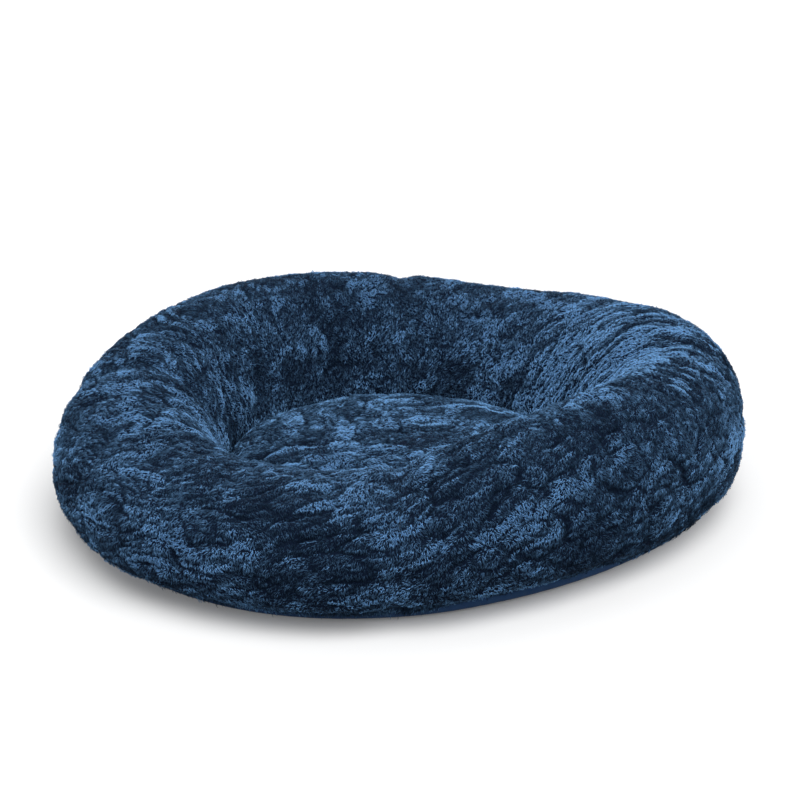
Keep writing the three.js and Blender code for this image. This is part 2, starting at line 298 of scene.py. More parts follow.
# %% The group for a soft unevenness of tone
mottle_inputs = [
    ("Vector", vector_kind, None),
    ("Scale", number_kind, 40.0),
    ("Dark", colour_kind, (0.1, 0.1, 0.1, 1)),
    ("Light", colour_kind, (0.3, 0.3, 0.3, 1)),
]
mottle_outputs = [("Colour", colour_kind), ("Height", number_kind)]
mottle_group, given, result = new_group("soft mottle", mottle_inputs, mottle_outputs)
cloud = add_node(mottle_group, "ShaderNodeTexNoise", Detail=6.0, Roughness=0.6)
mottle_mix = mottle_group.nodes.new("ShaderNodeMix")
mottle_mix.data_type = "RGBA"
mottle_group.links.new(given.outputs["Vector"], cloud.inputs["Vector"])
mottle_group.links.new(given.outputs["Scale"], cloud.inputs["Scale"])
mottle_group.links.new(cloud.outputs["Fac"], mottle_mix.inputs[0])
mottle_group.links.new(given.outputs["Dark"], mottle_mix.inputs[6])
mottle_group.links.new(given.outputs["Light"], mottle_mix.inputs[7])
mottle_group.links.new(mottle_mix.outputs[2], result.inputs["Colour"])
mottle_group.links.new(cloud.outputs["Fac"], result.inputs["Height"])
print("group", mottle_group.name)

# %% The group for a weave
weave_inputs = [("Vector", vector_kind, None), ("Scale", number_kind, 400.0)]
weave_group, given, result = new_group("plain weave", weave_inputs, [("Height", number_kind)])
threads = []
for direction in ("X", "Y"):
    thread = add_node(weave_group, "ShaderNodeTexWave", Distortion=0.6, Detail=2.0)
    thread.bands_direction = direction
    weave_group.links.new(given.outputs["Vector"], thread.inputs["Vector"])
    weave_group.links.new(given.outputs["Scale"], thread.inputs["Scale"])
    threads.append(thread)
crossing = weave_group.nodes.new("ShaderNodeMath")
crossing.operation = "MAXIMUM"
weave_group.links.new(threads[0].outputs["Fac"], crossing.inputs[0])
weave_group.links.new(threads[1].outputs["Fac"], crossing.inputs[1])
weave_group.links.new(crossing.outputs[0], result.inputs["Height"])
print("group", weave_group.name)


# %% A finish with a mottled colour and a fine raised weave
weave_strength = 0.5


def woven_finish(name, dark, light, mottle_scale, weave_scale, weave_depth, **values):
    finish, tree, surface = new_finish(name, **values)
    coordinates = tree.nodes.new("ShaderNodeTexCoord")
    mottle = place_group(tree, mottle_group, Scale=mottle_scale, Dark=dark, Light=light)
    weave = place_group(tree, weave_group, Scale=weave_scale)
    bump = add_node(tree, "ShaderNodeBump", Strength=weave_strength, Distance=weave_depth)
    tree.links.new(coordinates.outputs["Object"], mottle.inputs["Vector"])
    tree.links.new(coordinates.outputs["Object"], weave.inputs["Vector"])
    tree.links.new(mottle.outputs["Colour"], surface.inputs["Base Color"])
    tree.links.new(weave.outputs["Height"], bump.inputs["Height"])
    tree.links.new(bump.outputs["Normal"], surface.inputs["Normal"])
    return finish


# %% [markdown]
# The plush, the cloths and the zip
#
# Plush needs two finishes. The backing under the pile is a mottled knit, coloured nearly black as
# painted shade, since it only shows deep between the locks. The pile's own finish reads two numbers
# that each lock of fibres carries: its tone, and how far from root to tip a point lies. Roots are
# nearly black, as no light gets down there, and tips run from navy to a bright blue.
# The bright end is written brighter than the bed looks, because locks shade one another. The gloss is
# low and bluish: a stronger one, or a sheen, would lay a grey veil over the dark folds.
#
# The cloths, the wadding and the zip share one recipe, a mottle with a weave raised on it. On nylon
# and metal the weave is so fine and shallow that it reads as a satin surface.

# %% The plush finishes
backing, tree, surface = new_finish("plush backing", Roughness=0.9, Specular_IOR_Level=0.05)
coordinates = tree.nodes.new("ShaderNodeTexCoord")
knit = place_group(tree, mottle_group, Scale=260.0)
# The knit's colours are nearly black: painted shade for a cloth that lies deep under the pile
knit.inputs["Dark"].default_value = (0.0015, 0.004, 0.011, 1)
knit.inputs["Light"].default_value = (0.004, 0.01, 0.026, 1)
knit_bump = add_node(tree, "ShaderNodeBump", Strength=0.8, Distance=0.002)
tree.links.new(coordinates.outputs["Object"], knit.inputs["Vector"])
tree.links.new(knit.outputs["Colour"], surface.inputs["Base Color"])
tree.links.new(knit.outputs["Height"], knit_bump.inputs["Height"])
tree.links.new(knit_bump.outputs["Normal"], surface.inputs["Normal"])

pile_finish, tree, surface = new_finish("plush pile", Roughness=0.55, Specular_IOR_Level=0.04)
surface.inputs["Specular Tint"].default_value = (0.4, 0.68, 1, 1)
pile_colour = place_group(tree, pile_group)
for number in ("tone", "reach"):
    reader = tree.nodes.new("ShaderNodeAttribute")
    reader.attribute_name = number
    tree.links.new(reader.outputs["Fac"], pile_colour.inputs[number.title()])
tree.links.new(pile_colour.outputs["Colour"], surface.inputs["Base Color"])
print("finishes", backing.name, "and", pile_finish.name)

# %% The cloth, filling and zip finishes
base_cloth = woven_finish(
    "base cloth", (0.012, 0.04, 0.105, 1), (0.021, 0.066, 0.17, 1),
    mottle_scale=30.0, weave_scale=500.0, weave_depth=0.0003,
    Roughness=0.8, Specular_IOR_Level=0.2,
)
liner_cloth = woven_finish(
    "liner cloth", (0.72, 0.7, 0.66, 1), (0.84, 0.82, 0.78, 1),
    mottle_scale=90.0, weave_scale=350.0, weave_depth=0.0004,
    Roughness=0.9,
)
tape_cloth = woven_finish(
    "zip tape", (0.008, 0.013, 0.028, 1), (0.014, 0.022, 0.045, 1),
    mottle_scale=200.0, weave_scale=900.0, weave_depth=0.0002,
    Roughness=0.75,
)
wadding = woven_finish(
    "fibre filling", (0.78, 0.77, 0.74, 1), (0.92, 0.91, 0.89, 1),
    mottle_scale=60.0, weave_scale=150.0, weave_depth=0.002,
    Roughness=1.0,
)
nylon = woven_finish(
    "zip nylon", (0.006, 0.01, 0.02, 1), (0.01, 0.015, 0.03, 1),
    mottle_scale=300.0, weave_scale=800.0, weave_depth=0.00005,
    Roughness=0.35,
)
zip_metal = woven_finish(
    "zip metal", (0.42, 0.43, 0.45, 1), (0.56, 0.57, 0.6, 1),
    mottle_scale=500.0, weave_scale=2500.0, weave_depth=0.00002,
    Roughness=0.32, Metallic=1.0,
)
print("finishes made:", len(bpy.data.materials))

# %% [markdown]
# The ring's skin, read back from the frame
#
# The solids hold the true outline: a ring that leans and sags a little from use. Each panel's solid is
# a row of slices round the well's centre. The hull of a slice gives its outer skin, from the seam with
# the base, out and over the crest, and down to the floor of the well. Smooth curves through these
# points, first along the slice and then round the ring, give the skin anywhere.

# %% The middle of the well
panel_names = ["back_right", "back_left", "front_left", "front_right"]
sewn_gap = 0.0003
cushion_low, cushion_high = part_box("cushion_top_cover")
well_centre = np.array((cushion_low + cushion_high)[:2]) / 2
print("well centre", well_centre.round(4))

# %% The hull of points in a plane
flat_enough = 1e-9


def hull(points):
    """The corners of the hull of some points in a plane, counterclockwise from the leftmost."""
    ordered = points[np.lexsort((points[:, 1], points[:, 0]))]
    chains = []
    for chain in (ordered, ordered[::-1]):
        kept = []
        for point in chain:
            while len(kept) > 1:
                (ax, ay), (bx, by) = kept[-2], kept[-1]
                if (bx - ax) * (point[1] - ay) - (by - ay) * (point[0] - ax) > flat_enough:
                    break
                kept.pop()
            kept.append(point)
        chains += kept[:-1]
    return np.array(chains)


# %% The slices of a panel
least_turn = 0.01


def slices_of(panel):
    """The turn of each slice of a panel and its outer line, from the seam to the well."""
    co = np.array([v.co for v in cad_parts[f"ring_cover_{panel}"].data.vertices])
    across = co[:, :2] - well_centre
    radius = np.hypot(across[:, 0], across[:, 1])
    angle = np.arctan2(across[:, 1], across[:, 0]) % (2 * math.pi)
    order = np.argsort(angle)
    cuts = np.where(np.diff(angle[order]) > least_turn)[0] + 1
    for group in np.split(order, cuts):
        corners = hull(np.c_[radius[group], co[group, 2]])
        yield angle[group].mean(), np.concatenate([corners[2:], corners[:1]])


# %% Read all the slices
# A panel's last slice lies on the seam where the next one starts, so it is left out
station_turns = []
station_lines = []
for panel in panel_names:
    for turn, line in list(slices_of(panel))[:-1]:
        station_turns.append(turn)
        station_lines.append(line)
station_turns = np.array(station_turns)
station_lines = np.array(station_lines)
chords = np.linalg.norm(np.diff(station_lines, axis=1), axis=2).mean(0)
section_knots = np.concatenate([[0], np.cumsum(chords)])
section_length = section_knots[-1]
print("stations", station_lines.shape, "skin from seam to well", round(section_length, 3))


# %% The skin anywhere
def skin_lines(turns, reaches):
    """Radius and height of the skin, for each turn and each distance along the section."""
    wrap = 3
    turned = 2 * math.pi
    knots = np.concatenate(
        [station_turns[-wrap:] - turned, station_turns, station_turns[:wrap] + turned]
    )
    lines = np.concatenate([station_lines[-wrap:], station_lines, station_lines[:wrap]])
    along = smooth_through(section_knots, lines.transpose(1, 0, 2), reaches)
    return smooth_through(knots, along.transpose(1, 0, 2), turns)


def inset(lines, depth):
    """Moves section lines inwards, at right angles to the skin."""
    run = np.gradient(lines, axis=1)
    out = np.stack([run[..., 1], -run[..., 0]], -1)
    out /= np.linalg.norm(out, axis=-1, keepdims=True)
    return lines - np.asarray(depth)[..., None] * out


def round_ring(lines, turns):
    """Points in space for section lines of radius and height."""
    x = well_centre[0] + lines[..., 0] * np.cos(turns)[:, None]
    y = well_centre[1] + lines[..., 0] * np.sin(turns)[:, None]
    return np.stack([x, y, lines[..., 1]], -1)


# %% Directions on a surface
shortest = 1e-12


def unit(vectors):
    """Vectors of length one with the same directions."""
    return vectors / np.maximum(np.linalg.norm(vectors, axis=-1, keepdims=True), shortest)


def directions(surface_points):
    """The directions along the first and second axis of a grid, and out of its surface."""
    first = unit(np.gradient(surface_points, axis=0))
    second = unit(np.gradient(surface_points, axis=1))
    outwards = unit(np.cross(first, second))
    return first, np.cross(outwards, first), outwards


# %% [markdown]
# Growing the pile
#
# The pile is real geometry: one slim closed spindle for each lock of fibres, thick enough to see and
# fine enough to read as fur. Particle hair would be quicker to set up, but it isn't a mesh, and the
# finished bed should be one. A lock has a point at its root, a ring of three corners and a point at
# its tip. Its length and lean vary, and its tip is drawn sideways to the middle of its tuft, which
# makes the strands of worn plush. Along the seam with the base the locks hang down over it, tips
# tucked in, and here and there a long hair stands out. The tone and the reach that the finish reads
# are also the lock's place on the map named OFBake: locks of one tone share one column.

# %% Roots spread evenly over a surface
lock_spacing = 0.00175
lock_faces = 6
most_faces = 190_000


def roots_on(surface_points, spacing, rng):
    """Cell numbers and places within the cells, in proportion to each cell's area."""
    a = surface_points[1:, :-1] - surface_points[:-1, :-1]
    b = surface_points[:-1, 1:] - surface_points[:-1, :-1]
    area = np.linalg.norm(np.cross(a, b), axis=-1)
    total = np.cumsum(area.ravel())
    count = int(total[-1] / spacing ** 2)
    at = (np.arange(count) + rng.random(count)) / count * total[-1]
    cell = np.searchsorted(total, at)
    i, j = np.divmod(cell, area.shape[1])
    return i, j, rng.random(count), rng.random(count)


def between(grid, i, j, s, t):
    """Values of a grid at places inside its cells."""
    shape = (-1,) + (1,) * (grid.ndim - 2)
    s = s.reshape(shape)
    t = t.reshape(shape)
    near = grid[i, j] * (1 - t) + grid[i, j + 1] * t
    far = grid[i + 1, j] * (1 - t) + grid[i + 1, j + 1] * t
    return near * (1 - s) + far * s


# %% One lock for each root
ring_reach = 0.45
lock_width = 0.001
root_sink = 0.001
arch_share = 0.8
triangle = 3
corner_swings = [corner * 2 * math.pi / triangle + math.pi / 2 for corner in range(triangle)]


def lock_points(root, way, side, out, length, lift, curl, pull):
    """Points of the locks: a root, a ring of three and a tip for each."""
    def along(reach):
        run = length * np.cos(lift) * reach
        rise = length * np.sin(lift) * math.sin(reach * math.pi * arch_share)
        sway = curl * math.sin(reach * math.pi)
        moved = run[:, None] * way + rise[:, None] * out + sway[:, None] * side
        return root - root_sink * out + moved + pull * reach ** 2

    middle = along(ring_reach)
    forward = unit(along(1.0) - along(0.0))
    across = unit(np.cross(forward, out))
    up = np.cross(across, forward)
    spokes = [math.cos(swing) * across + math.sin(swing) * up for swing in corner_swings]
    ring = [middle + lock_width / 2 * spoke for spoke in spokes]
    return np.stack([along(0.0), *ring, along(1.0)], axis=1)


# %% The faces of a lock
points_a_lock = 5
tip_point = points_a_lock - 1
lock_corners = []
for corner in range(triangle):
    after = (corner + 1) % triangle
    lock_corners.append([0, 1 + corner, 1 + after])
    lock_corners.append([1 + after, 1 + corner, tip_point])
lock_corners = np.concatenate(lock_corners)
lock_reaches = np.array([0.0] + [ring_reach] * triangle + [1.0])
column_step = 0.012
lock_columns = np.array([0, 1, 0, -1, 0]) * column_step
print("faces a lock", len(lock_corners) // triangle)

# %% Keep the locks above the floor
floor_clearance = 0.004


def above_floor(points):
    """Bends whatever would go under the floor up to lie just above it."""
    low = np.minimum(points[..., 2] - floor_clearance, 0)
    points[..., 2] = np.maximum(points[..., 2], floor_clearance) * np.exp(low / floor_clearance)
    return points


# %% Locks become pieces
tone_limits = (0.013, 0.98)
map_margin = 0.01


def grow_pile(name, points, tones, body):
    """Makes one or more pieces of pile, each small enough for the export to keep every face."""
    pieces = math.ceil(len(points) * lock_faces / most_faces)
    made = []
    for number, share in enumerate(np.array_split(np.arange(len(points)), pieces), 1):
        count = len(share)
        starts = np.arange(count)[:, None] * points_a_lock
        corners = (starts + lock_corners).ravel()
        counts = np.full(count * lock_faces, triangle)
        flat_points = points[share].reshape(-1, 3)
        piece = new_piece(f"{name}_{number}", flat_points, corners, counts, pile_finish)
        column = np.clip(tones[share], *tone_limits)[:, None] + lock_columns
        reach = np.tile(lock_reaches, (count, 1))
        for key, values in (("tone", column), ("reach", reach)):
            attribute = piece.data.attributes.new(key, "FLOAT", "POINT")
            attribute.data.foreach_set("value", values.ravel().astype(np.float32))
        layer = piece.data.uv_layers.new(name="OFBake")
        row = map_margin + (1 - 2 * map_margin) * reach
        places = np.stack([column.ravel(), row.ravel()], -1)[corners]
        layer.uv.foreach_set("vector", places.astype(np.float32).ravel())
        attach(piece, body)
        made.append(piece)
    return made


# %% How the locks lie
pile_height = 0.006
lock_length = 0.0058
length_scatter = 0.18
length_limits = (0.5, 1.5)
lock_lift = math.radians(15)
lift_scatter = math.radians(4)
lift_limits = (0.08, 1.0)
heading_scatter = 0.3
curl_scatter = 0.0009
slope_pull = 1.6
long_hair_share = 0.003
long_hair_stretch = 0.8
hang_stretch = 1.3
hang_tuck = 0.4
hang_flatten = 0.7
print("pile stands", pile_height, "with a root every", lock_spacing)

# %% How the locks join in tufts
tuft_size = 0.0037
tuft_draw_sideways = 0.5
tuft_draw_endways = 0.15
tuft_shade = 0.45
lock_shade = 0.2
tuft_lift_least = 0.6
tuft_lift_more = 0.8
tuft_length_least = 0.85
tuft_length_more = 0.3
print("tufts are", tuft_size, "across")


# %% Which way the pile lies
def leaning(surface_points, relief, nap):
    """Grids of the surface's own directions and of the pile's heading: the nap, turned by slopes."""
    first, _, outwards = directions(surface_points)
    along_first = np.linalg.norm(np.gradient(surface_points, axis=0), axis=-1)
    along_second = np.linalg.norm(np.gradient(surface_points, axis=1), axis=-1)
    slope = np.stack(np.gradient(relief), -1) / np.stack([along_first, along_second], -1)
    return first, outwards, np.stack([np.cos(nap), np.sin(nap)], -1) - slope_pull * slope


# %% Dress a surface with pile
def dress(name, surface_points, relief, nap, places, pattern, hang, seed, body):
    """Grows pile on a grid of points. The nap is the angle that the pile lies at; slopes turn it.
    The places say where on the cloth each point lies, and give a lock the tone under its middle.
    Where they hang, at the seam with the base, locks are longer and turn down."""
    rng = np.random.default_rng(seed)
    first, outwards, heading = leaning(surface_points, relief, nap)
    i, j, s, t = roots_on(surface_points, lock_spacing, rng)
    root = between(surface_points, i, j, s, t)
    first = unit(between(first, i, j, s, t))
    out = unit(between(outwards, i, j, s, t))
    second = np.cross(out, first)
    count = len(root)
    heading = between(heading, i, j, s, t)
    angle = np.arctan2(heading[:, 1], heading[:, 0]) + rng.normal(0, heading_scatter, count)
    way = np.cos(angle)[:, None] * first + np.sin(angle)[:, None] * second
    hang = between(hang, i, j, s, t)
    root = root + (pile_height * hang)[:, None] * out
    way = unit((1 - hang)[:, None] * way + hang[:, None] * np.array([0, 0, -1]))
    side = np.cross(out, way)
    length = lock_length * (1 + rng.normal(0, length_scatter, count)).clip(*length_limits)
    long_hair = rng.random(count) < long_hair_share
    length = length * (1 + hang_stretch * hang + long_hair_stretch * long_hair)
    lift = (lock_lift + lift_scatter * rng.normal(0, 1, count)).clip(*lift_limits)
    lift = lift * (1 - hang_flatten * hang)
    curl = curl_scatter * rng.normal(0, 1, count)
    tip = root + way * (length * np.cos(lift))[:, None]
    tuft, chance = nearest_tuft(tip, tuft_size, seed)
    sideways = ((tuft - tip) * side).sum(1, keepdims=True) * side
    endways = ((tuft - tip) * way).sum(1, keepdims=True) * way
    pull = tuft_draw_sideways * sideways + tuft_draw_endways * endways
    pull = pull - (hang_tuck * hang * length)[:, None] * out
    middle = between(places, i, j, s, t)
    middle[:, 0] += length / 2 * np.cos(angle)
    middle[:, 1] += length / 2 * np.sin(angle)
    shade = tuft_shade * (chance - 0.5) + rng.normal(0, lock_shade, count)
    tone = crushed(middle, pattern)[1] * np.exp(shade)
    lift = lift * (tuft_lift_least + tuft_lift_more * chance)
    length = length * (tuft_length_least + tuft_length_more * chance)
    points = above_floor(lock_points(root, way, side, out, length, lift, curl, pull))
    made = grow_pile(name, points, tone, body)
    print(name, "locks", count, "pieces", len(made), "middle tone", round(float(np.median(tone)), 3))
    return made


# %% [markdown]
# The ring's four plush panels
#
# Crushed plush is a small landscape. The stuffing makes broad soft swells. On those the cloth lies in
# rounded folds with sharp creases between them, and each fold is broken up by small facets and then by
# fine ones. Low on the outer wall, where the cover is drawn in to the base, the folds are long and
# thin. Higher up they are broad and run along the ring. The ring's inside is shorter than its outside,
# so there, most of all to the left and right, the cloth gathers in folds that run over the crest and
# down into the well. A cloth simulation could wrinkle the backing, but not the pile, and what shows
# is the pile. So the folds are worked out: scattered cells with creases between them, in layers from
# large to fine, on places that noise has bent out of line.
#
# The tone follows the same pattern. Creases are darkened as painted shade, and so is the pile low
# on the outer wall. Each facet has a random shade of its own, with painted light on one side. Where
# the nap lies so that it catches the light, the pile is painted a bright steel blue as a sheen. A few
# strokes of painted sheen and painted shade on the front are listed one by one, the inner slopes get
# painted light, most on the right, and the rest come from noise. The relief fades out at the seams,
# where the cover is sewn. At one bare place on the front right the hanging locks are shorter, and the
# base shows.

# %% Facets with creases between them
facet_jitter = 0.8
least_gap = 1e-6


def facets(along, across, seed):
    """The cells of a scattered lattice of size one. For each place this gives the distance to the
    nearest crease, the facet's own number from 0 to 1, and how far up the facet the place lies."""
    here = np.stack([along, across], -1)
    cell = np.floor(here).astype(np.int64)
    layer = np.full(along.shape + (1,), seed)
    spots = []
    chances = []
    for offset in itertools.product((-1, 0, 1), repeat=2):
        near = np.concatenate([cell + np.array(offset), layer], -1)
        numbers = [lattice_number(near, seed + k) / largest_number - 0.5 for k in range(3)]
        spots.append(near[..., :2] + 0.5 + facet_jitter * np.stack(numbers[:2], -1))
        chances.append(numbers[2] + 0.5)
    spots = np.stack(spots)
    nearest = ((spots - here) ** 2).sum(-1).argmin(0)[None]
    centre = np.take_along_axis(spots, nearest[..., None], 0)
    chance = np.take_along_axis(np.stack(chances), nearest, 0)[0]
    gap = spots - centre
    length = np.linalg.norm(gap, axis=-1)
    border = (((spots + centre) / 2 - here) * gap).sum(-1) / np.maximum(length, least_gap)
    crease = np.where(length > least_gap, border, np.inf).min(0)
    return crease, chance, across - centre[0, ..., 1]


# %% One layer of folds
crease_width = 0.0024
crease_size = 0.03
rounded_share = 0.4
fold_kinds = {
    "along": (0.085, 0.042, 0.22, 8),
    "across": (0.1, 0.03, 0.12, 9),
    "pulled": (0.1, 0.011, 0.06, 10),
    "small": (0.036, 0.018, 0.45, 11),
    "small across": (0.036, 0.016, 0.3, 13),
    "fine": (0.018, 0.0075, 0.6, 12),
}
print("kinds of fold", list(fold_kinds))


def fold_layer(run, rise, kind, pattern):
    """Three numbers for each place: the fold's height, its crease line, where the tone gets painted
    shade, and its shade, a random tone for each facet with painted light on one side of it. A kind of
    fold has a length, a width, a tilt and a seed. Its crease is as wide as its size asks."""
    long_size, short_size, tilt, seed = fold_kinds[kind]
    along = run * math.cos(tilt) + rise * math.sin(tilt)
    across = rise * math.cos(tilt) - run * math.sin(tilt)
    crease, chance, up = facets(along / long_size, across / short_size, pattern + seed)
    back = 1 - (1 - np.clip(crease / rounded_share, 0, 1)) ** 2
    width = crease_width * math.sqrt(short_size / crease_size)
    line = np.exp(-((crease * short_size / width) ** 2))
    # The shade: a random tone for each facet, plus painted light that makes one side of it lighter
    return np.stack([back, line, 2 * chance - 1 + up], -1)


# %% How deep the folds are, and how much painted shade darkens their creases
fold_height = 0.0032
drawn_loss = 0.0015
small_height = 0.0011
fine_height = 0.0006
least_deep = 0.2
deep_size = 0.05
deep_band = (-0.3, 0.3)
# These darken the tone along the creases of each layer: painted shade
crease_shade = 0.9
small_crease_shade = 0.7
fine_crease_shade = 0.65
large_warp = [(0.022, 0.08), (0.016, 0.065)]
small_warp = [(0.003, 0.02), (0.0025, 0.018)]
print("large folds stand", fold_height, "and fine ones", fine_height)

# %% How the tone varies, with painted sheen and painted shade
pile_tone = 0.55
sheen_patch_long = 0.1
sheen_patch_wide = 0.042
ragged_share = 0.4
ragged_size = 0.02
swell_size = 0.075
sheen_band = (0.46, 0.58)
sheen_gain = 3.2
# The pile low on the outer wall is painted darker: painted shade
painted_low_shade = 0.25
sheen_parts = {"small": 0.6, "large": 0.25}
# Shares of the tone: facet tones with painted light on one side, large random patches, and painted light
# and shade
tone_parts = {"large": 0.45, "small": 0.33, "fine": 0.48, "swell": 0.8, "hand": 0.5}
print("parts of the tone", tone_parts)


# %% Crushed plush: its relief and its tone
def crushed(places, seed):
    """The relief in metres and the pile's tone at places on a cover. A place is a distance along the
    cloth, one across it, the share of folds that run across it, the share drawn in at a seam, and
    how much painted light and sheen it gets, or painted shade if negative."""
    run, rise, over, drawn, hand = np.moveaxis(places, -1, 0)
    flat = np.stack([run, rise, np.full_like(run, seed)], -1)
    deep = least_deep + (1 - least_deep) * step_up(noise(flat, deep_size, seed), *deep_band)
    # Painted sheen: patches where the pile catches the light, ragged at their edges
    patches = np.stack([run / sheen_patch_long, rise / sheen_patch_wide, np.full_like(run, seed)], -1)
    sheen_field = noise(patches, 1.0, seed + 1) + ragged_share * noise(flat, ragged_size, seed + 2) + hand
    swell = noise(flat, swell_size, seed + 3)
    (run_far, run_size), (rise_far, rise_size) = large_warp
    (run_near, run_grain), (rise_near, rise_grain) = small_warp
    run = run + run_far * noise(flat, run_size, seed + 4) + run_near * noise(flat, run_grain, seed + 5)
    rise = rise + rise_far * noise(flat, rise_size, seed + 6)
    rise = rise + rise_near * noise(flat, rise_grain, seed + 7)
    along = fold_layer(run, rise, "along", seed)
    across = fold_layer(rise, run, "across", seed)
    pulled = fold_layer(run, rise, "pulled", seed)
    large = along + over[..., None] * (across - along)
    large = large + drawn[..., None] * (pulled - large)
    small = fold_layer(run, rise, "small", seed)
    small_across = fold_layer(rise, run, "small across", seed)
    small = small + over[..., None] * (small_across - small)
    fine = fold_layer(run, rise, "fine", seed)
    back, line, shade = np.moveaxis(large, -1, 0)
    small_back, small_line, small_tone_and_lit_side = np.moveaxis(small, -1, 0)
    fine_back, fine_line, fine_tone_and_lit_side = np.moveaxis(fine, -1, 0)
    height = (fold_height - drawn_loss * drawn) * (1 - 2 * deep * (1 - back))
    height = height + small_height * (2 * small_back - 1) + fine_height * (2 * fine_back - 1)
    # Where this field is high, the pile is painted a bright steel blue: painted sheen
    turned = sheen_field + sheen_parts["small"] * small_tone_and_lit_side + sheen_parts["large"] * shade
    painted_sheen = step_up(turned, *sheen_band)
    # The tone: random facet tones with painted light on one side, large random patches, and the painted
    # light and shade of the strokes
    varied = tone_parts["large"] * shade + tone_parts["small"] * small_tone_and_lit_side
    varied = varied + tone_parts["fine"] * fine_tone_and_lit_side
    varied = varied + tone_parts["swell"] * swell + tone_parts["hand"] * hand
    # Painted sheen brightens the tone, and painted shade darkens it low by the seam
    tone = pile_tone * np.exp(varied) * (1 + sheen_gain * painted_sheen) * (1 - painted_low_shade * drawn)
    # Painted shade along the crease lines of all three layers
    tone = tone * (1 - crease_shade * deep * line)
    return height, tone * (1 - small_crease_shade * small_line) * (1 - fine_crease_shade * fine_line)


# %% Sizes of the ring's cover
ring_pattern = 100
cover_thickness = 0.012
turn_steps = 420
section_steps = 280
shell_step = 2
seam_fade = 0.014
edge_fade = 0.02
cover_depths = (-0.001, 0.0108)
stuffing_swell = 0.003
stuffing_size = 0.12
nap_turns = [(1.3, 0.08), (0.8, 0.035)]
ring_radius = 0.43
once_round = 2 * math.pi * ring_radius
print("grid of a panel", turn_steps, "by", section_steps)

# %% Where the folds turn and draw in, and where light and shade are painted
drawn_band = (0.11, 0.03)
over_band = (0.38, 0.62)
over_lead = 0.22
over_front = 0.35
inner_band = (0.42, 0.65)
# Painted light on the inner slopes, on both sides and most on the right
inner_painted_light_sides = 0.5
inner_painted_light_right = 0.35
hang_reach = 0.02
bare_turn = math.radians(294)
bare_spread = math.radians(23)
bare_share = 0.52
# Each stroke: its place along the ring and up the wall, its length, its width and its strength
# A positive strength paints sheen, a negative one paints shade
hand_strokes = [
    (2.14, 0.138, 0.08, 0.022, 1.1),
    (2.24, 0.09, 0.06, 0.03, -0.7),
    (1.97, 0.22, 0.09, 0.03, 0.4),
    (2.33, 0.19, 0.03, 0.02, 0.6),
    (2.46, 0.18, 0.09, 0.06, -0.45),
    (2.64, 0.28, 0.1, 0.05, 0.45),
]
print("strokes placed by hand", len(hand_strokes))


# %% Where on the cloth each point of a panel lies
def ring_places(turns, reaches):
    """The five numbers that crushed reads, for a grid of turns and distances up the section."""
    run = turns[:, None] * ring_radius + 0 * reaches
    rise = 0 * turns[:, None] + reaches
    right = np.cos(turns)[:, None]
    side = right ** 2
    share = rise / section_length
    over = step_up(share + over_lead * side, *over_band)
    over = over * (over_front + (1 - over_front) * side)
    # Painted light on the inner slopes, then painted sheen and painted shade from each stroke
    inner_painted_light = inner_painted_light_sides * side + inner_painted_light_right * right
    hand = step_up(share, *inner_band) * inner_painted_light
    for stroke_run, stroke_rise, long, wide, strength in hand_strokes:
        ahead = (run - stroke_run + once_round / 2) % once_round - once_round / 2
        spread = (ahead / long) ** 2 + ((rise - stroke_rise) / wide) ** 2
        hand = hand + strength * np.exp(-spread)
    return np.stack([run, rise, over, step_up(rise, *drawn_band), hand], -1)


# %% Build the panels
def ring_panel(panel, name):
    quarter = math.pi / 2
    turns = np.linspace(panel * quarter, (panel + 1) * quarter, turn_steps + 1)
    reaches = np.linspace(0, section_length, section_steps + 1)
    lines = skin_lines(turns, reaches)
    skin = round_ring(lines, turns)
    first, _, outwards = directions(skin)
    places = ring_places(turns, reaches)
    swell = stuffing_swell * noise(skin, stuffing_size, ring_pattern + 20)
    relief = crushed(places, ring_pattern)[0] + swell
    from_seam = np.minimum(turns - turns[0], turns[-1] - turns)[:, None] * lines[..., 0]
    fade = 1 - np.exp(-((from_seam / seam_fade) ** 2))
    edge = np.minimum(reaches, section_length - reaches)[None, :]
    fade = fade * step_up(edge, 0.0, edge_fade)
    relief = relief * fade
    depth = np.clip(pile_height - relief, *cover_depths)
    outside = skin - depth[..., None] * outwards
    inside = round_ring(inset(lines, np.full(lines.shape[:2], cover_thickness)), turns)
    for end, way in ((0, 1), (-1, -1)):
        clear = way * sewn_gap / 2 * first[end]
        outside[end] += clear
        inside[end] += clear
    coarse = (slice(None, None, shell_step), slice(None, None, shell_step))
    piece = shell(f"cover_{name}", outside[coarse], inside[coarse], backing)
    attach(piece, "bed")
    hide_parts(f"ring_cover_{name}")
    nap = -math.pi / 2
    for step, (strength, size) in enumerate(nap_turns):
        nap = nap + strength * noise(skin, size, ring_pattern + 21 + step)
    bare = 1 - step_up(np.abs(turns - bare_turn), bare_spread / 2, bare_spread)[:, None]
    hang = step_up(places[..., 1], hang_reach, 0.0) * (1 - bare_share * bare)
    seed = ring_pattern + panel
    dress(f"pile_{name}", outside, relief, nap, places, ring_pattern, hang, seed, "bed")


for panel, name in enumerate(panel_names):
    ring_panel(panel, name)

# %% [markdown]
# The padded base
#
# The base is a padded dish of plain cloth, whose edge turns up to meet the plush. The longer edge of
# the dish is gathered into the seam, so it shows small folds there. A flat disc could be shrunk onto
# the ring, but the zip needs a true slot and the seam has to meet the cover all round. So the lines of
# both its skins, the cloth below and the lining above, run from the slot in the middle to the seam.

